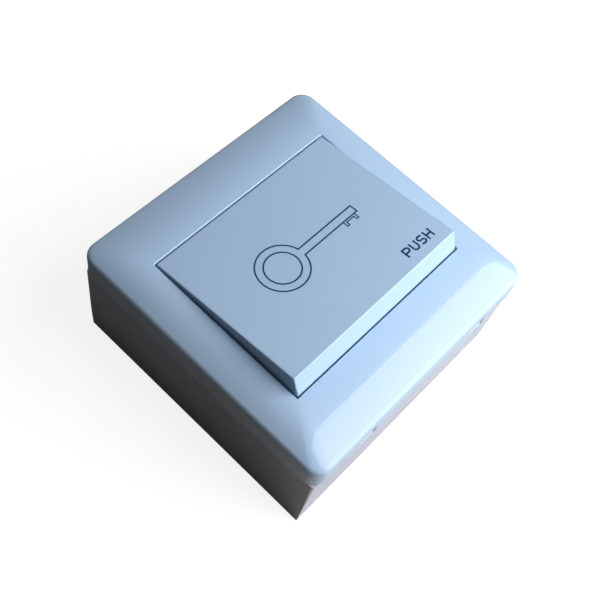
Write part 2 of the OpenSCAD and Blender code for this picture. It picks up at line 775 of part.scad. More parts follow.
back_box();
box_insert(left);  // box_insert_left
box_insert(right);  // box_insert_right
carrier_frame();
carrier_screw(left);  // carrier_screw_left
carrier_screw(right);  // carrier_screw_right
fascia();
rocker();
return_spring(left);  // return_spring_left
return_spring(right);  // return_spring_right
switch_base();
switch_cover();
base_screw(top);  // base_screw_top
base_screw(bottom);  // base_screw_bottom
plunger();
plunger_spring();
contact_bridge();
bridge_stud(left);  // bridge_stud_left
bridge_stud(right);  // bridge_stud_right
contact_strip(left);  // contact_strip_left
contact_strip(right);  // contact_strip_right
fixed_stud(left);  // fixed_stud_left
fixed_stud(right);  // fixed_stud_right
terminal_clamp(left);  // terminal_clamp_left
terminal_clamp(right);  // terminal_clamp_right
terminal_screw(left);  // terminal_screw_left
terminal_screw(right);  // terminal_screw_right
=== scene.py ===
# %% [markdown]
# # Door exit button
#
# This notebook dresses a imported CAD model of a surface-mounted door exit button.
# The CAD gives the frame: every solid, where it sits and how it moves. Here the surfaces that
# show get finer shapes, and every solid gets a material. All shapes are worked out with numpy.

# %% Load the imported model
import math
import bmesh
import bpy
import numpy as np
from mathutils import Matrix, Vector


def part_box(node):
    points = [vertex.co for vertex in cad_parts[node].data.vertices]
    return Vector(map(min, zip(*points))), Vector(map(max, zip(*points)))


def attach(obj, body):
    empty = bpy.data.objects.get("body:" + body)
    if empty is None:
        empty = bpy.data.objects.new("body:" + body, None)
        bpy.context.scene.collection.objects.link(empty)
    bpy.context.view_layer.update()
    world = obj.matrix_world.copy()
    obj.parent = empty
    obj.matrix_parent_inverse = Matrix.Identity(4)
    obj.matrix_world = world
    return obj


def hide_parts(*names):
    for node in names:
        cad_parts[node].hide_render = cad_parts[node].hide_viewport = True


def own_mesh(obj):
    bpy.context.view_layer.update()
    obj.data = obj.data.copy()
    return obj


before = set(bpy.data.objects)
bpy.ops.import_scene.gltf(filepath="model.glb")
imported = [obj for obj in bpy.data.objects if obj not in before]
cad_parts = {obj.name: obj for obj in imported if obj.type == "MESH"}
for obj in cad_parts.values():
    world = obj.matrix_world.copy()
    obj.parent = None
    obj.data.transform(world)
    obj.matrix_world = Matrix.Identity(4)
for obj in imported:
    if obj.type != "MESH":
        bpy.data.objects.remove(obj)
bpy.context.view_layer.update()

# %% [markdown]
# ## Measures
#
# The sizes repeat the names and values of the CAD source, in millimetres: a square cover of 86 mm
# on a box 31.1 mm deep, with an opening for a rocker that is hinged near its upper edge.
# Blender works in metres, so meshes are scaled by MM at the very end.

# %% Sizes of the real object in millimetres
MM = 0.001
BOX_H = 31.1
# Cover: width, corner radius, wall, and the heights of its foot and of its face.
COVER_W, COVER_R, COVER_WALL, COVER_Z, FACE_Z = 86.0, 4.5, 2.0, 31.4, 43.2
# Border: fall of its crown, radius and arc of its shoulder, and the level band at the opening.
CROWN_FALL, SHOULDER_R, ROLL_A, FLAT_BAND, BAND_R = 2.5, 1.7, math.radians(68), 0.3, 0.6
# Opening: its reach from the centre to the sides, upwards and downwards.
OPEN_X, OPEN_TOP, OPEN_LOW = 32.4, 26.2, 25.3
# From these follow the end of the shoulder's arc and the crown's width at the sides, above, below.
ROLL_IN = SHOULDER_R * (1 - math.cos(ROLL_A))
ROLL_Z = FACE_Z - CROWN_FALL - SHOULDER_R * math.sin(ROLL_A)
CROWN = COVER_W / 2 - np.array([OPEN_X, OPEN_TOP, OPEN_LOW]) - FLAT_BAND - ROLL_IN
# Rocker: its hinge edge, its raised lip along Y and in height, the foot under it, half its width.
HEAD_Y, LIP_Y, LIP_Z, FOOT_Y, ROCKER_X = 25.8, -22.5, 49.4, -24.9, 31.9
TILT = math.atan2(LIP_Z - FACE_Z, HEAD_Y - LIP_Y)
# Pry notches: distance from the centre, length, height. Snap barbs: distance from the centre.
PRY_X, PRY_L, PRY_H, SNAP_X = 23.0, 6.5, 4.0, 12.0
print("crown widths:", CROWN.round(3), "rocker tilt:", round(math.degrees(TILT), 2))

# %% [markdown]
# ## Colours and nodes
#
# Colours are written as the sRGB hex values that a paint chart or a screen shows. The shader wants
# linear light, so one function turns them. A second small function adds a shader node with its
# settings and its links in one call, which keeps every material short.

# %% Helpers for materials


def linear(code):
    """sRGB hex colour as linear red, green, blue and alpha, by the standard curve."""
    s = np.array([int(code[i:i + 2], 16) for i in (1, 3, 5)]) / 255
    return (*np.where(s <= 0.04045, s / 12.92, ((s + 0.055) / 1.055) ** 2.4).tolist(), 1.0)


def add(tree, kind, inputs=None, **settings):
    """One node: plain values go onto its sockets, and sockets of other nodes are linked to them."""
    item = tree.nodes.new(kind)
    for key, value in settings.items():
        setattr(item, key, value)
    for key, value in (inputs or {}).items():
        if isinstance(value, bpy.types.NodeSocket):
            tree.links.new(value, item.inputs[key])
        else:
            item.inputs[key].default_value = value
    return item


def new_material(name):
    """Empty node material: returns the material, its tree and its output node."""
    material = bpy.data.materials.new(name)
    material.use_nodes = True
    material.node_tree.nodes.clear()
    out = material.node_tree.nodes.new("ShaderNodeOutputMaterial")
    return material, material.node_tree, out


print("middle grey of a screen in linear light:", round(linear("#808080")[0], 3))

# %% [markdown]
# ## Moulded plastics
#
# The cover, the rocker and the box are injection mouldings. Polished mould faces give a thin, very
# smooth skin over a slightly cloudy body: the clear coat stands for the skin and the rougher base
# for the body. The mould's faint waviness is a low noise some 20 mm wide. The grain that its
# polishing or spark erosion leaves is finer than a tenth of a millimetre on the real object, and is
# drawn a few tenths wide here, because it wouldn't show otherwise.

# %% Plastic materials
DRIFT, PATCH = 18.0, 3.0  # widths of the colour's and the gloss's slow changes, in millimetres


def moulded(name, colour, shade, rough, grain, height, coat, coat_rough, gleam=0.5, wave=0.02):
    """Injection-moulded plastic.

    The colour drifts between two close tones, the roughness by wave round rough, and the bump adds
    the mould's grain, whose width and height are in millimetres. The coat is the smooth skin, and
    gleam is how much the cloudy body mirrors by itself.
    """
    material, tree, out = new_material(name)
    spot = add(tree, "ShaderNodeTexCoord").outputs["Object"]
    drift = add(tree, "ShaderNodeTexNoise", {
        "Vector": spot, "Scale": 1 / (DRIFT * MM), "Detail": 2.0})
    tone = add(tree, "ShaderNodeMix", {
        "Factor": drift.outputs["Fac"], "A": linear(colour), "B": linear(shade)}, data_type="RGBA")
    patch = add(tree, "ShaderNodeTexNoise", {
        "Vector": spot, "Scale": 1 / (PATCH * MM), "Detail": 3.0})
    gloss = add(tree, "ShaderNodeMapRange", {
        "Value": patch.outputs["Fac"], "To Min": rough - wave, "To Max": rough + wave})
    pores = add(tree, "ShaderNodeTexNoise", {
        "Vector": spot, "Scale": 1 / (grain * MM), "Detail": 2.0})
    bump = add(tree, "ShaderNodeBump", {
        "Height": pores.outputs["Fac"], "Distance": height * MM, "Strength": 1.0})
    shader = add(tree, "ShaderNodeBsdfPrincipled", {
        "Base Color": tone.outputs["Result"], "Roughness": gloss.outputs["Result"],
        "Normal": bump.outputs["Normal"], "IOR": 1.53, "Specular IOR Level": gleam,
        "Coat Weight": coat, "Coat Roughness": coat_rough, "Coat IOR": 1.5})
    tree.links.new(shader.outputs["BSDF"], out.inputs["Surface"])
    return material


PLASTIC = {
    # A polished mould: lights are mirrored with a crisp edge, faintly, over an even body colour.
    "cover": moulded("pale blue ABS, polished moulding", "#A4C2E0", "#A0BFDE",
                     0.45, 0.35, 0.0015, 0.6, 0.03, 0.2),
    # The same plastic from a satin mould: the mirrored edges are soft.
    "rocker": moulded("pale blue ABS, satin moulding", "#A4C2E0", "#A0BFDE",
                      0.45, 0.30, 0.003, 0.4, 0.12, 0.2),
    # A lightly eroded mould: only a broad sheen is left, on a paler and greyer body.
    "box": moulded("lilac white ABS, fine satin moulding", "#B5BCCD", "#B0B8CA",
                   0.48, 0.30, 0.006, 0.25, 0.20, 0.3),
    # Plain working parts: dull, a little milky.
    "carrier": moulded("pale polycarbonate, moulded", "#BCCDDE", "#B6C8DA",
                       0.45, 0.40, 0.010, 0.1, 0.3),
    "plunger": moulded("natural acetal, moulded", "#E4E2D8", "#DCD9CD",
                       0.38, 0.40, 0.006, 0.2, 0.2),
    # Glass fibres make the skin uneven, so it looks dry.
    "switch": moulded("black glass-filled nylon, moulded", "#262729", "#1E1F21",
                      0.55, 0.25, 0.020, 0.1, 0.3),
}
print("plastics:", [m.name for m in PLASTIC.values()])

# %% [markdown]
# ## Metals and ink
#
# Stamped brass and drawn steel show fine lines along the way they were rolled or drawn, so their
# noise is stretched. Zinc plating is a bright, slightly mottled grey. Pad-printing ink is a flat
# dark blue film that is a little less even than the plastic under it.

# %% Metal and ink materials
INK_PATCH = 0.5  # width of the ink's uneven patches, in millimetres


def worked_metal(name, colour, shade, rough, line, stretch, depth):
    """Metal with working lines.

    A noise of one line's width in millimetres, stretched along X, drives tone, roughness and bump.
    """
    material, tree, out = new_material(name)
    spot = add(tree, "ShaderNodeTexCoord").outputs["Object"]
    drawn = add(tree, "ShaderNodeMapping", {"Vector": spot, "Scale": (1 / stretch, 1.0, 1.0)})
    lines = add(tree, "ShaderNodeTexNoise", {
        "Vector": drawn.outputs["Vector"], "Scale": 1 / (line * MM), "Detail": 3.0})
    tone = add(tree, "ShaderNodeMix", {
        "Factor": lines.outputs["Fac"], "A": linear(colour), "B": linear(shade)}, data_type="RGBA")
    gloss = add(tree, "ShaderNodeMapRange", {
        "Value": lines.outputs["Fac"], "To Min": rough - 0.06, "To Max": rough + 0.08})
    bump = add(tree, "ShaderNodeBump", {
        "Height": lines.outputs["Fac"], "Distance": depth * MM, "Strength": 1.0})
    shader = add(tree, "ShaderNodeBsdfPrincipled", {
        "Base Color": tone.outputs["Result"], "Roughness": gloss.outputs["Result"],
        "Normal": bump.outputs["Normal"], "Metallic": 1.0})
    tree.links.new(shader.outputs["BSDF"], out.inputs["Surface"])
    return material


def printed_ink(name, colour, shade):
    """Thin matt film of ink whose tone is uneven over half a millimetre."""
    material, tree, out = new_material(name)
    spot = add(tree, "ShaderNodeTexCoord").outputs["Object"]
    film = add(tree, "ShaderNodeTexNoise", {
        "Vector": spot, "Scale": 1 / (INK_PATCH * MM), "Detail": 2.0})
    tone = add(tree, "ShaderNodeMix", {
        "Factor": film.outputs["Fac"], "A": linear(colour), "B": linear(shade)}, data_type="RGBA")
    shader = add(tree, "ShaderNodeBsdfPrincipled", {
        "Base Color": tone.outputs["Result"], "Roughness": 0.6, "Specular IOR Level": 0.15})
    tree.links.new(shader.outputs["BSDF"], out.inputs["Surface"])
    return material


METAL = {
    # Rolled strip: a warm yellow with long fine lines. Rivet: nearly white, with short ones.
    "brass": worked_metal("stamped brass strip", "#D9B366", "#C79F52", 0.32, 0.12, 8, 0.002),
    "silver": worked_metal("silver contact rivet", "#DEDCD6", "#CFCDC8", 0.28, 0.15, 2, 0.001),
    # Wire from the die: dark streaks along a grey gloss. Plating: a mottled, brighter grey.
    "spring": worked_metal("drawn spring steel wire", "#A9ABAE", "#8F9194", 0.30, 0.08, 6, 0.001),
    "zinc": worked_metal("zinc-plated steel screw", "#C3C6C9", "#B2B5B8", 0.34, 0.25, 1.5, 0.002),
}
# A matt film: it mirrors next to nothing, so the print stays dark under the window's light.
INK = printed_ink("pad-printed dark blue ink", "#12325E", "#193D70")
print("metals:", [m.name for m in METAL.values()])

# %% [markdown]
# ## From arrays to meshes
#
# Every new shape is a grid of points: one direction runs round or along the piece and the other
# along its profile. The faces of a grid follow from its size alone. After building, the signed
# volume tells whether the faces point outwards, and they are turned if they don't.

# %% Helpers for meshes


def grid(rows, columns, around=True, closed=False):
    """Quads of a rows x columns grid.

    around joins the last column to the first, and closed joins the last row to the first.
    """
    spot = np.arange(rows * columns).reshape(rows, columns)
    if around:
        spot = np.hstack([spot, spot[:, :1]])
    if closed:
        spot = np.vstack([spot, spot[:1]])
    return np.stack([spot[:-1, :-1], spot[:-1, 1:], spot[1:, 1:], spot[1:, :-1]], -1).reshape(-1, 4)


def volume(points, faces):
    """Signed volume of a closed skin: the box products of its triangles' corners, over six."""
    total = 0.0
    for face in faces:
        p = points[list(face)]
        first = np.broadcast_to(p[0], (len(p) - 2, 3))
        total += np.einsum("ij,ij->", first, np.cross(p[1:-1], p[2:])) / 6
    return total


def outwards(points, faces):
    """The same faces, turned about where they enclose a negative volume."""
    if volume(points, faces) < 0:
        faces = [tuple(reversed(tuple(f))) for f in faces]
    return points, [tuple(int(i) for i in f) for f in faces]


def joined(parts):
    """Several (points, faces) pairs as one."""
    points, faces, start = [], [], 0
    for p, f in parts:
        points.append(p)
        faces += [tuple(i + start for i in face) for face in f]
        start += len(p)
    return np.vstack(points), faces


def piece(name, points, faces, material, body, slot, stands_for=(), smooth=None):
    """Mesh object on its body, from points in millimetres, shaded smooth up to the angle smooth."""
    mesh = bpy.data.meshes.new(name)
    mesh.from_pydata((points * MM).tolist(), [], faces)
    mesh.validate()
    mesh.update()
    if smooth is not None:
        mesh.polygons.foreach_set("use_smooth", np.ones(len(mesh.polygons), bool))
        mesh.set_sharp_from_angle(angle=math.radians(smooth))
    mesh.materials.append(material)
    shown = bpy.data.objects.new(name, mesh)
    bpy.context.scene.collection.objects.link(shown)
    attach(shown, body)
    if stands_for:
        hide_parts(*stands_for)
    print(f"{name}: {len(points)} points, {len(faces)} faces")
    return shown


print("a closed grid of 3 by 4 points has", len(grid(3, 4, closed=True)), "faces")

# %% [markdown]
# ## The cover
#
# The cover is a frame whose border swells like a pillow between the opening and a rounded shoulder.
# A slice through the border is the same everywhere except for its width, so the whole cover is one
# profile carried round a rounded square. At the corners the slices fan out and make the soft hips.
#
# The border's height follows a parabola: level at the opening, and falling by 2.5 mm at the
# shoulder. The shoulder is an arc of 68 degrees that ends in the upright skirt.

# %% Stations round the cover
SPREAD = [0.85, 0.6, 0.3, 0.0, -0.3, -0.6, -0.85]  # stations along a straight side
NOTCH_SIDE = 0.04  # half the width that a pry notch's upright side takes, in millimetres


def stations(arc_steps=12):
    """Places round a rounded square, as (cx, cy, angle).

    cx and cy, from -1 to 1, say where along the straight parts a place lies, and the angle in
    degrees is its place on the corner's arc. Close pairs stand where the pry notches end.
    """
    straight = COVER_W / 2 - COVER_R
    ends = np.array([side * PRY_X + end * PRY_L / 2 for side in (-1, 1) for end in (-1, 1)])
    low = np.sort([*(ends - NOTCH_SIDE) / straight, *(ends + NOTCH_SIDE) / straight,
                   -0.9, -0.25, 0.0, 0.25, 0.9])
    sides = [[(c, 1, 90) for c in SPREAD], [(-1, c, 180) for c in SPREAD],
             [(c, -1, 270) for c in low], [(1, -c, 360) for c in SPREAD]]
    found = []
    for q, (sx, sy) in enumerate([(1, 1), (-1, 1), (-1, -1), (1, -1)]):
        found += [(sx, sy, a) for a in np.linspace(90 * q, 90 * (q + 1), arc_steps + 1)]
        found += sides[q]
    return np.array(found)


PLACES = stations()


def ring(insets, radius, height):
    """One turn round the cover at one height.

    Each side is drawn in by its own inset, and the corners are arcs of the radius.
    """
    cx, cy, a = PLACES.T
    a = np.radians(a)
    side, above, below = insets
    half = COVER_W / 2
    x = cx * (half - side - radius) + radius * np.cos(a)
    up, down = half - above - radius, half - below - radius
    y = np.where(cy > 0, cy * up, cy * down) + radius * np.sin(a)
    return np.stack([x, y, np.full_like(x, height)], 1)


print(len(PLACES), "stations round the cover")

# %% [markdown]
# The profile is walked once round the wall: up the skirt, over the shoulder, along the crown, down
# the wall of the opening and back inside. Each stop gives its three insets (at the sides, above and
# below the opening), its corner radius and its height. Two pry notches lift the skirt's foot.

# %% Profile of the cover
FOOT_CUT = 0.15  # chamfer of the skirt's foot
SKIRT_Z = 36.5  # a stop on the skirt, above the pry notches
OPEN_R, EDGE_R, WALL_Z = 0.35, 0.29, 41.1  # opening: corner radius, rounded edge, end of its wall
INNER_R = COVER_R - COVER_WALL


def cover_profile():
    """Stops of the profile, as (insets, corner radius, height, foot).

    Shoulder: an arc, with the inset radius x (1 - cos t) and the height radius x sin t over its
    start. Crown: the height falls with the square of the way from the opening. Edge: a quarter
    circle. foot marks the rows that a pry notch lifts.
    """
    flat = np.ones(3)
    inside = COVER_WALL * flat
    stops = [(FOOT_CUT * flat, COVER_R, COVER_Z, 1), (0.0 * flat, COVER_R, COVER_Z + FOOT_CUT, 1),
             (0.0 * flat, COVER_R, SKIRT_Z, 0)]
    for t in np.linspace(0, ROLL_A, 9):
        stops.append((SHOULDER_R * (1 - math.cos(t)) * flat, COVER_R,
                      ROLL_Z + SHOULDER_R * math.sin(t), 0))
    for u in np.linspace(0, 1, 21)[1:]:
        stops.append((ROLL_IN + CROWN * u, COVER_R + (BAND_R - COVER_R) * u,
                      FACE_Z - CROWN_FALL * (1 - u) ** 2, 0))
    edge = ROLL_IN + CROWN + FLAT_BAND
    for t in np.radians([0, 22.5, 45, 67.5, 90]):
        stops.append((edge - EDGE_R * (1 - math.sin(t)) * flat, OPEN_R,
                      FACE_Z - EDGE_R * (1 - math.cos(t)), 0))
    stops.append((edge, OPEN_R, WALL_Z, 0))
    for u in (0.75, 0.5, 0.25, 0.0):
        stops.append((COVER_WALL + ROLL_IN + CROWN * u, INNER_R + (BAND_R - INNER_R) * u,
                      FACE_Z - COVER_WALL - CROWN_FALL * (1 - u) ** 2, 0))
    for t in np.linspace(ROLL_A, 0, 4)[1:]:
        stops.append(((COVER_WALL + SHOULDER_R * (1 - math.cos(t))) * flat, INNER_R,
                      ROLL_Z - COVER_WALL + SHOULDER_R * math.sin(t), 0))
    stops += [(inside, INNER_R, SKIRT_Z, 0), (inside, INNER_R, COVER_Z + FOOT_CUT, 1),
              (inside - FOOT_CUT, INNER_R + FOOT_CUT, COVER_Z, 1)]
    return stops


def cover_shell():
    """Points and faces of the closed cover: one ring for each stop, with the notches lifted."""
    stops = cover_profile()
    rows = np.array([ring(insets, radius, height) for insets, radius, height, _ in stops])
    foot = np.array([stop[3] for stop in stops], bool)
    x, y = rows[1, :, 0], rows[1, :, 1]
    notch = (y < 1 - COVER_W / 2) & (abs(abs(x) - PRY_X) < PRY_L / 2)
    rows[np.ix_(foot, notch, [2])] += PRY_H
    return outwards(rows.reshape(-1, 3), grid(len(stops), len(PLACES), closed=True))


print(len(cover_profile()), "stops in the profile")

# %% [markdown]
# Four wedges inside the skirt snap into windows of the carrier. Each is a prism: an outline in the
# Y-Z plane carried along X.

# %% Prisms and the finished cover
BARB = np.array([[41.2, 34.4], [41.2, 35.6], [39.9, 35.6], [40.7, 34.4]])  # y, z of the outline
BARB_HALF = 3.5


def prism(outline, x0, x1):
    """Outline of (y, z) points carried from x0 to x1, with both ends closed."""
    n = len(outline)
    points = np.vstack([np.column_stack([np.full(n, x), outline]) for x in (x0, x1)])
    faces = [tuple(f) for f in grid(2, n)] + [tuple(range(n)), tuple(range(2 * n - 1, n - 1, -1))]
    return outwards(points, faces)


barbs = [prism(BARB * (side, 1), x - BARB_HALF, x + BARB_HALF)
         for side in (1, -1) for x in (-SNAP_X, SNAP_X)]
piece("cover_shell", *joined([cover_shell(), *barbs]), PLASTIC["cover"], "housing", "cover_plastic",
      ["fascia"], smooth=32)

# %% [markdown]
# ## The rocker and the box
#
# The CAD's own solids are right for these two, down to the hooks, ribs and knock-outs, but their
# edges are knife-sharp, and no moulding has such edges. A copy of each mesh is merged to one skin,
# its coplanar triangles are joined again, and a narrow bevel runs along the edges that a hand can
# touch. The bevel is where the light catches, so it does much for a plain shape.

# %% Softened copies of two CAD solids
WELD = 0.002  # corners closer than this are one, in millimetres
COPLANAR, SHARP = math.radians(0.5), math.radians(28)
SOFT_EDGE = 0.35  # width of the bevel, in millimetres


def softened(name, node, touchable, material, body):
    """Merged copy of a CAD solid with a bevel on each sharp edge that touchable accepts."""
    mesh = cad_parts[node].data.copy()
    mesh.name = name
    mesh.materials.clear()
    mesh.materials.append(material)
    work = bmesh.new()
    work.from_mesh(mesh)
    bmesh.ops.remove_doubles(work, verts=work.verts, dist=WELD * MM)
    bmesh.ops.dissolve_limit(work, angle_limit=COPLANAR, verts=work.verts, edges=work.edges)
    weight = work.edges.layers.float.new("bevel_weight_edge")
    count = 0
    for edge in work.edges:
        a, b = (np.array(v.co) / MM for v in edge.verts)
        if len(edge.link_faces) == 2 and edge.calc_face_angle(0) > SHARP and touchable(a, b):
            edge[weight] = 1.0
            count += 1
    work.to_mesh(mesh)
    work.free()
    mesh.polygons.foreach_set("use_smooth", np.ones(len(mesh.polygons), bool))
    mesh.set_sharp_from_angle(angle=SHARP)
    shown = bpy.data.objects.new(name, mesh)
    bpy.context.scene.collection.objects.link(shown)
    bevel = shown.modifiers.new("soft edges", "BEVEL")
    bevel.limit_method = "WEIGHT"
    bevel.width = SOFT_EDGE * MM
    bevel.segments = 3
    bevel.use_clamp_overlap = False
    bevel.harden_normals = True
    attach(shown, body)
    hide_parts(node)
    print(f"{name}: {len(mesh.polygons)} faces, {count} soft edges")


# %% [markdown]
# Which edges a hand can touch is a matter of place. On the rocker they are the ones where two
# planes of its outer block meet, and on the box those round its back and round its open rim. The
# short edges at the box's rounded corners are left out, because a bevel would spike there.

# %% Edges that are softened
ON_PLANE = 0.02  # a corner this close to a plane lies on it, in millimetres
BOX_REACH, SHORT = 39.4, 1.0  # the rim's outer corners lie farther out; edges not worth a bevel


def rocker_edge(a, b):
    """Edges of the rocker's outer block, where two of its outer planes meet.

    The distance from the sloping lip is the cross product of two vectors over the length of the
    first: one along the lip from its lower line, and one from there to the point.
    """
    rise, run = LIP_Z - FACE_Z, LIP_Y - FOOT_Y

    def planes(p):
        x, y, z = p
        away = {"left": x + ROCKER_X, "right": x - ROCKER_X, "head": y - HEAD_Y, "foot": y - FOOT_Y,
                "top": z - FACE_Z - (HEAD_Y - y) * math.tan(TILT),
                "lip": ((y - FOOT_Y) * rise - (z - FACE_Z) * run) / math.hypot(rise, run)}
        return {plane for plane, distance in away.items() if abs(distance) < ON_PLANE}
    return len(planes(a) & planes(b)) >= 2


def box_edge(a, b):
    """Edges round the box's back and round its open rim."""
    reach = min(np.abs(p[:2]).max() for p in (a, b))
    level = max(a[2], b[2]) < 0.05 or min(a[2], b[2]) > BOX_H - 0.05
    return level and reach > BOX_REACH and np.linalg.norm(a - b) > SHORT


softened("rocker_shell", "rocker", rocker_edge, PLASTIC["rocker"], "rocker")
softened("box_shell", "back_box", box_edge, PLASTIC["box"], "housing")

# %% [markdown]
# ## The print on the rocker
#
# The rocker carries a key in outline and a word, pad-printed in dark blue. Both are ribbons of
# constant width, two hundredths of a millimetre thick, along paths drawn on the rocker's face: x to
# the right, and d down the slope from the hinge edge. A ribbon's corners are mitred: each corner
# point moves along the half-way direction of its two strokes by half the width over the cosine of
# half the turn.

# %% Ribbons on the rocker's face
FILM_LOW, FILM_HIGH = -0.05, 0.02  # the film's underside, sunk into the face, and its top
MITRE = 0.3  # least cosine, so that a hairpin's corner doesn't shoot out


def on_face(flat, lift):
    """Points (x, d) on the rocker's sloping face, raised by lift."""
    x, d = flat[:, 0], flat[:, 1]
    return np.column_stack([x, HEAD_Y - d * math.cos(TILT) + lift * math.sin(TILT),
                            FACE_Z + d * math.sin(TILT) + lift * math.cos(TILT)])


def ribbon(path, width, closed=False):
    """Thin closed strip of even width along a path of (x, d) points."""
    path = np.asarray(path, float)
    ahead = np.roll(path, -1, 0) - path
    ahead /= np.linalg.norm(ahead, axis=1, keepdims=True)
    behind = np.roll(ahead, 1, 0)
    if not closed:
        ahead[-1], behind[0] = behind[-1], ahead[0]
    across = ahead + behind
    across /= np.linalg.norm(across, axis=1, keepdims=True)
    across = np.column_stack([-across[:, 1], across[:, 0]])
    side = np.column_stack([-ahead[:, 1], ahead[:, 0]])
    reach = width / 2 / np.clip((across * side).sum(1, keepdims=True), MITRE, 1)
    left, right = path + across * reach, path - across * reach
    loop = np.array([on_face(left, FILM_LOW), on_face(left, FILM_HIGH),
                     on_face(right, FILM_HIGH), on_face(right, FILM_LOW)])
    n = len(path)
    if closed:
        faces = grid(4, n, closed=True)
    else:
        faces = [tuple(f) for f in grid(4, n, around=False, closed=True)]
        faces += [(0, n, 2 * n, 3 * n), tuple(n * k + n - 1 for k in (3, 2, 1, 0))]
    return outwards(loop.reshape(-1, 3), faces)


def arc(centre, radius, start, end, steps):
    """Points on an arc, angles in degrees from +x towards +d."""
    a = np.radians(np.linspace(start, end, steps))
    return np.column_stack([centre[0] + radius * np.cos(a), centre[1] + radius * np.sin(a)])


print("the face is", round((HEAD_Y - LIP_Y) / math.cos(TILT), 2), "mm long down its slope")

# %% [markdown]
# The key has a ring of two circles, the outer one open where the shaft joins, a shaft with a square
# end, and a bit of two short feet.

# %% Key in outline
KEY_X, KEY_D, RING_OUT, RING_IN = -9.75, 24.06, 7.38, 5.08  # centre and radii of the ring
SHAFT, TIP_X = 1.26, 18.35  # half the shaft's width, and its end
BIT_X, BIT_D = (12.65, 13.4, 16.3, 17.1), (25.3, 25.95, 27.1)  # sides and levels of the two feet
KEY_LINE, BIT_LINE = 0.44, 0.36  # widths of the lines
open_a = math.degrees(math.asin(SHAFT / RING_OUT))
head = arc((KEY_X, KEY_D), RING_OUT, open_a, 360 - open_a, 72)
outer = np.vstack([[[TIP_X, KEY_D - SHAFT], [TIP_X, KEY_D + SHAFT]], head])
inner = arc((KEY_X, KEY_D), RING_IN, 0, 355, 71)
bit = [(BIT_X[i], BIT_D[k])
       for i, k in ((0, 0), (0, 2), (1, 2), (1, 1), (2, 1), (2, 2), (3, 2), (3, 0))]
key = joined([ribbon(outer, KEY_LINE, closed=True), ribbon(inner, KEY_LINE, closed=True),
              ribbon(bit, BIT_LINE)])
piece("key_mark", *key, INK, "rocker", "switch_plastic")

# %% [markdown]
# The word is four capitals of even strokes. Straight strokes are two-point paths and the bowls are
# arcs, so a handful of numbers draws each letter.

# %% Word in plain capitals
TOP_D, LOW_D, STROKE = 42.82, 45.4, 0.56  # centre lines of the top and foot strokes, their width
LEFT = {"P": 16.35, "U": 19.3, "S": 22.2, "H": 25.1}  # x of each letter's left stroke
P_ARM, P_R, U_R, S_WIDE, H_WIDE = 1.25, 0.72, 0.93, 1.86, 1.9


def upright(x):
    """Straight stroke over the letter's whole height."""
    return [(x, LOW_D + STROKE / 2), (x, TOP_D - STROKE / 2)]


def letters():
    """Paths of the four letters, each drawn from its left edge."""
    x, r = LEFT["P"], P_R
    bowl = arc((x + P_ARM, TOP_D + r), r, -90, 90, 10)
    paths = [upright(x), np.vstack([[[x, TOP_D]], bowl, [[x, TOP_D + 2 * r]]])]
    x, r = LEFT["U"], U_R
    paths += [np.vstack([[[x, TOP_D - STROKE / 2]], arc((x + r, LOW_D - r), r, 180, 0, 14),
                         [[x + 2 * r, TOP_D - STROKE / 2]]])]
    x, r = LEFT["S"], (LOW_D - TOP_D) / 4
    near, far = x + r, x + S_WIDE - r
    upper, lower = TOP_D + r, TOP_D + 3 * r
    paths += [np.vstack([arc((far, upper), r, -30, -90, 6), arc((near, upper), r, -90, -270, 12),
                         arc((far, lower), r, -90, 90, 12), arc((near, lower), r, 90, 150, 6)])]
    x, middle = LEFT["H"], (TOP_D + LOW_D) / 2
    return paths + [upright(x), upright(x + H_WIDE), [(x, middle), (x + H_WIDE, middle)]]


word = joined([ribbon(path, STROKE) for path in letters()])
piece("push_word", *word, INK, "rocker", "switch_plastic")

# %% [markdown]
# ## The coil springs
#
# A coil spring is a tube along a helix whose first and last three quarters of a turn lie flat, so
# that it stands square on its seat.

# %% Springs
WIRE, FLAT_TURN = 0.6, 0.75  # wire diameter in millimetres, and turns that lie flat at each end
RETURN_Y, RETURN_R, RETURN_TURNS = -10, 2.9, 7
PLUNGER_R, PLUNGER_TURNS = 2.4, 5


def coil(centre, low, high, radius, turns, sides=12, per_turn=28):
    """Tube along a helix: the angle grows evenly, the height only between the flat end turns."""
    u = np.linspace(0, 1, int(per_turn * turns) + 1)
    a = 2 * math.pi * turns * u
    climb = np.clip((u * turns - FLAT_TURN) / (turns - 2 * FLAT_TURN), 0, 1)
    rise = climb * (high - low - WIRE) + low + WIRE / 2
    b = np.linspace(0, 2 * math.pi, sides, endpoint=False)
    q = radius + WIRE / 2 * np.cos(b)[None, :]
    tube = np.stack([centre[0] + q * np.cos(a)[:, None], centre[1] + q * np.sin(a)[:, None],
                     rise[:, None] + WIRE / 2 * np.sin(b)[None, :]], -1)
    faces = [tuple(f) for f in grid(len(u), sides)]
    faces += [tuple(range(sides)), tuple(range(len(u) * sides - 1, (len(u) - 1) * sides - 1, -1))]
    return outwards(tube.reshape(-1, 3), faces)


for side, x in (("left", -20), ("right", 20)):
    low, high = (c[2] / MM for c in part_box(f"return_spring_{side}"))
    wound = piece(f"return_coil_{side}", *coil((x, RETURN_Y), low, high, RETURN_R, RETURN_TURNS),
                  METAL["spring"], "housing", "spring_steel", [f"return_spring_{side}"], smooth=40)
    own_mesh(wound)
low, high = (c[2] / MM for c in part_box("plunger_spring"))
wound = piece("plunger_coil", *coil((0, 0), low, high, PLUNGER_R, PLUNGER_TURNS),
              METAL["spring"], "housing", "spring_steel", ["plunger_spring"], smooth=40)
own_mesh(wound)

# %% [markdown]
# ## Materials for the pieces inside
#
# The rest keeps its CAD shape. Each solid takes the material of what it is made of on the real
# object: polycarbonate, nylon and acetal mouldings, brass strips, silver rivets, plated screws.
# The first key that is part of a solid's name gives its material.

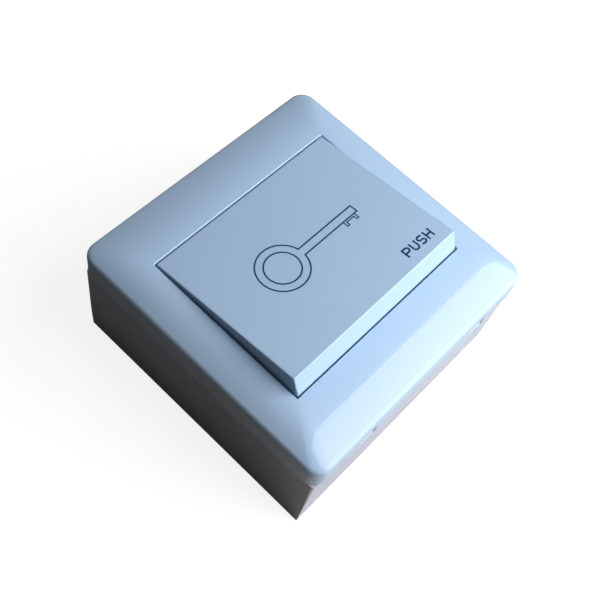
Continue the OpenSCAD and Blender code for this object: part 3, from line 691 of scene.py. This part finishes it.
# %% Materials on CAD solids
KINDS = {
    "carrier_frame": PLASTIC["carrier"], "switch_cover": PLASTIC["carrier"],
    "switch_base": PLASTIC["switch"], "plunger": PLASTIC["plunger"], "screw": METAL["zinc"],
    "stud": METAL["silver"], "insert": METAL["brass"], "strip": METAL["brass"],
    "clamp": METAL["brass"], "bridge": METAL["brass"], "spring": METAL["spring"],
    "back_box": PLASTIC["box"], "fascia": PLASTIC["cover"], "rocker": PLASTIC["rocker"],
}
for name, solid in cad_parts.items():
    material = next(m for name_part, m in KINDS.items() if name_part in name)
    solid.data.materials.clear()
    solid.data.materials.append(material)
print(len(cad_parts), "solids have materials")

# %% [markdown]
# ## Floor and surroundings
#
# The photograph is a studio shot on white, in a room that is otherwise dim and warm. A floor that
# is simply white would flood the dark side of the box, so the floor answers in three ways: white to
# the camera, pale paper to mirrors and a dim grey to diffuse light. It keeps the object's shadow,
# and far out it turns as white as the world, so that no horizon shows in low views.

# %% Floor and surroundings
FLOOR_HALF = 6.0  # half the floor's side, in metres
FADE = (0.10, 0.60)  # from the first distance to the second, in metres, the floor turns whiter
GLOW = (0.86, 1.0)  # its own light at the first, where the lamps add the rest, and at the second
FILL, MIRROR_SHARE = 0.03, 0.3  # strength of the room's fill; the white world's share in mirrors


def studio_floor():
    """Large square under the object: three materials, chosen by the kind of ray that asks."""
    material, tree, out = new_material("studio paper, white")
    path = add(tree, "ShaderNodeLightPath")
    seen = add(tree, "ShaderNodeMath", {
        0: path.outputs["Is Camera Ray"], 1: path.outputs["Is Transmission Ray"]},
        operation="MAXIMUM")
    dim = add(tree, "ShaderNodeBsdfDiffuse", {"Color": linear("#4A4236")})
    paper = add(tree, "ShaderNodeBsdfDiffuse", {"Color": linear("#BCBDC0")})
    mirrored = add(tree, "ShaderNodeMixShader", {
        "Fac": path.outputs["Is Glossy Ray"], 1: dim.outputs["BSDF"], 2: paper.outputs["BSDF"]})
    plain = add(tree, "ShaderNodeBsdfDiffuse", {"Color": linear("#8A8A88")})
    place = add(tree, "ShaderNodeTexCoord")
    reach = add(tree, "ShaderNodeVectorMath", {0: place.outputs["Object"]}, operation="LENGTH")
    level = add(tree, "ShaderNodeMapRange", {
        "Value": reach.outputs["Value"], "From Min": FADE[0], "From Max": FADE[1],
        "To Min": GLOW[0], "To Max": GLOW[1]})
    white = add(tree, "ShaderNodeEmission", {
        "Color": linear("#FFFFFF"), "Strength": level.outputs["Result"]})
    both = add(tree, "ShaderNodeAddShader", {
        0: plain.outputs["BSDF"], 1: white.outputs["Emission"]})
    mix = add(tree, "ShaderNodeMixShader", {
        "Fac": seen.outputs["Value"], 1: mirrored.outputs["Shader"], 2: both.outputs["Shader"]})
    tree.links.new(mix.outputs["Shader"], out.inputs["Surface"])
    mesh = bpy.data.meshes.new("floor")
    s = FLOOR_HALF
    mesh.from_pydata([(-s, -s, 0), (s, -s, 0), (s, s, 0), (-s, s, 0)], [], [(0, 1, 2, 3)])
    mesh.materials.append(material)
    floor = bpy.data.objects.new("floor", mesh)
    bpy.context.scene.collection.objects.link(floor)


def surroundings():
    """World: white to the camera and through glass, dimmer in mirrors, and a weak warm fill."""
    world = bpy.data.worlds.new("white room")
    bpy.context.scene.world = world
    world.use_nodes = True
    tree = world.node_tree
    tree.nodes.clear()
    path = add(tree, "ShaderNodeLightPath")
    fill = add(tree, "ShaderNodeBackground", {"Color": linear("#FFE3C0"), "Strength": FILL})
    white = add(tree, "ShaderNodeBackground", {"Color": linear("#FFFFFF"), "Strength": 1.0})
    seen = add(tree, "ShaderNodeMath", {
        0: path.outputs["Is Camera Ray"], 1: path.outputs["Is Transmission Ray"]},
        operation="MAXIMUM")
    far = add(tree, "ShaderNodeMath", {
        0: path.outputs["Is Glossy Ray"], 1: MIRROR_SHARE}, operation="MULTIPLY")
    share = add(tree, "ShaderNodeMath", {
        0: seen.outputs["Value"], 1: far.outputs["Value"]}, operation="MAXIMUM")
    mix = add(tree, "ShaderNodeMixShader", {
        "Fac": share.outputs["Value"],
        1: fill.outputs["Background"], 2: white.outputs["Background"]})
    add(tree, "ShaderNodeOutputWorld", {"Surface": mix.outputs["Shader"]})


studio_floor()
surroundings()
print("the floor is", 2 * FLOOR_HALF, "m wide")

# %% [markdown]
# ## Light
#
# The one strong light is a window or a softbox close to the pressing end, to its right. Its
# straight upper edge is mirrored in the cover's border, which a lamp of that shape and place does
# by itself. A weak, cooler light stands for the wall behind the hinge end, and a very weak one for
# the ceiling. An area light's power is its radiance times its area times pi, so the power here
# follows from how bright each surface looks.

# %% Lights


def panel(name, corner, along, up, radiance, colour):
    """Area light over the rectangle from corner along two edges, shining to the origin's side."""
    corner, along, up = (Vector(v) for v in (corner, along, up))
    lamp = bpy.data.lights.new(name, "AREA")
    lamp.shape = "RECTANGLE"
    lamp.size, lamp.size_y = along.length, up.length
    lamp.energy = radiance * math.pi * along.length * up.length
    lamp.color = linear(colour)[:3]
    spot = bpy.data.objects.new(name, lamp)
    centre = corner + along / 2 + up / 2
    x, y = along.normalized(), up.normalized()
    z = x.cross(y)
    if z.dot(centre) < 0:
        x, z = -x, -z
    spot.matrix_world = Matrix.Translation(centre) @ Matrix((x, y, z)).transposed().to_4x4()
    bpy.context.scene.collection.objects.link(spot)
    print(f"{name}: {along.length:.2f} x {up.length:.2f} m, {lamp.energy:.1f} W")


panel("window", corner=(-0.04, -0.55, 0.07), along=(0.58, 0.0, 0.0), up=(0.0, 0.46, 0.33),
      radiance=5.15, colour="#FFFAF8")
panel("far wall", corner=(-0.35, 0.90, 0.02), along=(0.90, 0.0, 0.0), up=(0.0, 0.0, 0.36),
      radiance=0.9, colour="#F2F5FF")
panel("ceiling bounce", corner=(-0.6, -0.2, 1.6), along=(1.2, 0.0, 0.0), up=(0.0, 1.2, 0.0),
      radiance=0.20, colour="#F2F6FF")

# %% [markdown]
# ## Camera
#
# The camera was solved from the straight edges of the object: it stands 30 cm away, up on the left
# and a little towards the pressing end, and looks down on the face. Its three directions make the
# columns of a rotation, and its focal length over the picture's width, in pixels, gives the lens.

# %% Camera
SENSOR, FOCAL, WIDTH = 36.0, 947.4, 600  # sensor in millimetres, focal length and picture in pixels
STAND = (-0.11829, -0.06549, 0.25692)
RIGHT = Vector((0.67784, -0.72185, 0.13952))
DOWN = Vector((-0.59406, -0.64956, -0.47451))
AHEAD = Vector((0.43315, 0.23876, -0.86912))
lens = bpy.data.cameras.new("camera")
lens.sensor_width = SENSOR
lens.lens = FOCAL / WIDTH * SENSOR
lens.clip_start = 0.01
camera = bpy.data.objects.new("camera", lens)
turn = Matrix((RIGHT, -DOWN, -AHEAD)).transposed().to_4x4()
camera.matrix_world = Matrix.Translation(STAND) @ turn
bpy.context.scene.collection.objects.link(camera)
bpy.context.scene.camera = camera
bpy.context.scene.view_settings.view_transform = "Standard"
print("camera at", [round(c, 4) for c in camera.location])
